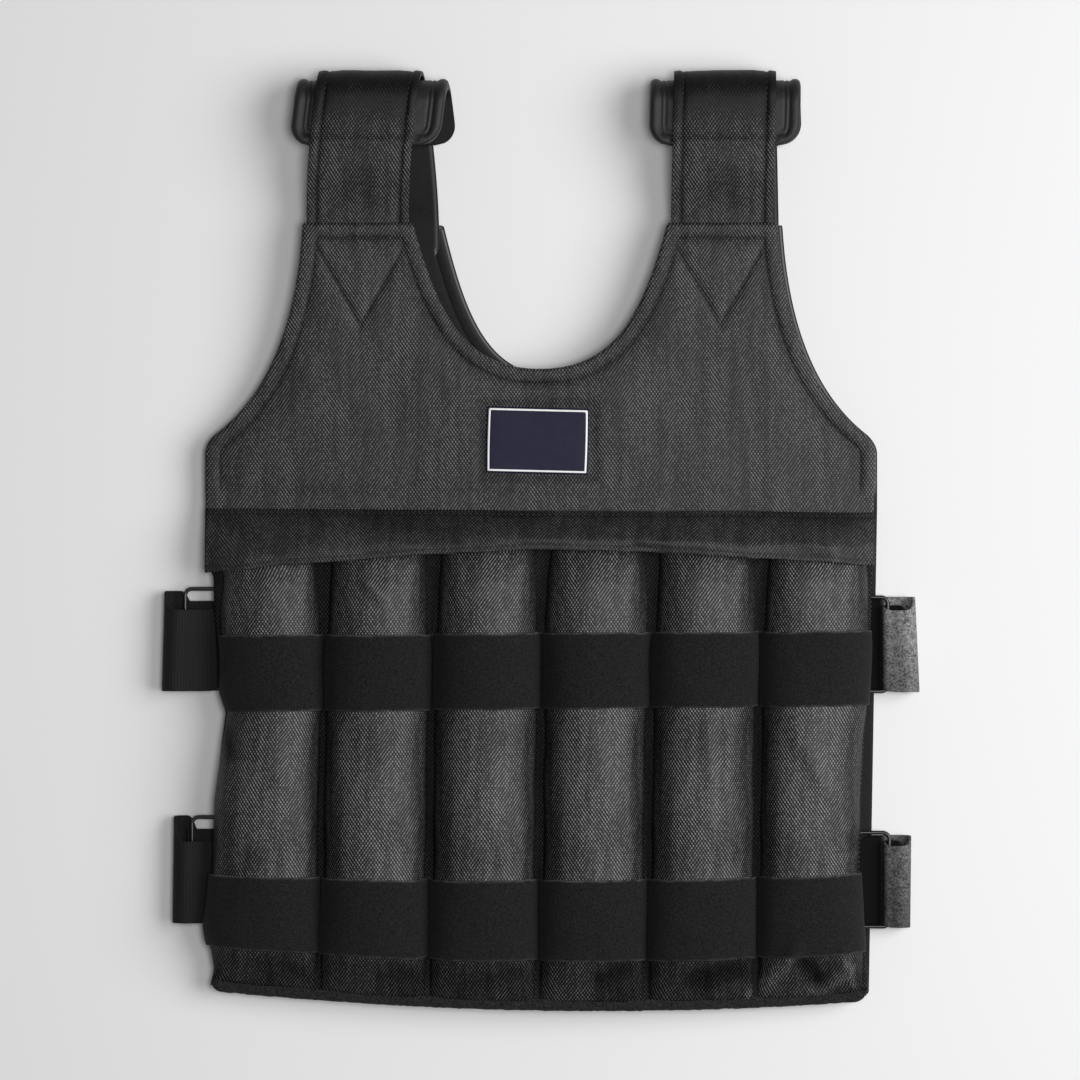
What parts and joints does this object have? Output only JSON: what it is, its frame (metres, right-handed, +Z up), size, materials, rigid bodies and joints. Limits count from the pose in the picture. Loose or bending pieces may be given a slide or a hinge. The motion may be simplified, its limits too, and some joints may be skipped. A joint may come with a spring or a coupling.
{
  "type": "weighted vest",
  "caption": "Weighted training vest with filled front pockets under a flap, hook-and-loop bands, padded shoulder straps and side straps on wire rings, lying on its back.",
  "frame": {"origin": "on the surface that the vest lies on, under the middle of its outline", "axes": "+X to the viewer's right, +Y from the hem to the shoulders, +Z up, out of the front panel"},
  "size_m": [0.4508, 0.5627, 0.0501],
  "materials": {
    "nylon": "woven charcoal nylon",
    "lining": "smooth dark lining",
    "loop_band": "fuzzy loop tape",
    "binding": "woven binding tape",
    "label": "woven navy patch",
    "strap_nylon": "coarse woven strap",
    "pad_nylon": "padded smooth nylon",
    "webbing": "dark webbing",
    "fuzzy_webbing": "fuzzy grey loop webbing",
    "wire": "black lacquered wire"
  },
  "bodies": {
    "root": {"front_panel": "nylon", "back_panel": "lining", "flap": "nylon", "pocket_1": "nylon", "pocket_2": "nylon", "pocket_3": "nylon", "pocket_4": "nylon", "pocket_5": "nylon", "pocket_6": "nylon", "band_upper": "loop_band", "band_lower": "loop_band", "hem_binding": "binding", "label": "label", "shoulder_strap_left": "strap_nylon", "shoulder_strap_right": "strap_nylon", "shoulder_pad_left": "pad_nylon", "shoulder_pad_right": "pad_nylon", "ring_upper_left": "wire", "ring_lower_left": "wire", "ring_upper_right": "wire", "ring_lower_right": "wire", "ring_tab_upper_left": "binding", "ring_tab_lower_left": "binding", "ring_tab_upper_right": "binding", "ring_tab_lower_right": "binding", "side_strap_upper_left": "webbing", "side_strap_lower_left": "webbing", "side_strap_upper_right": "fuzzy_webbing", "side_strap_lower_right": "fuzzy_webbing"}
  },
  "joints": []
}
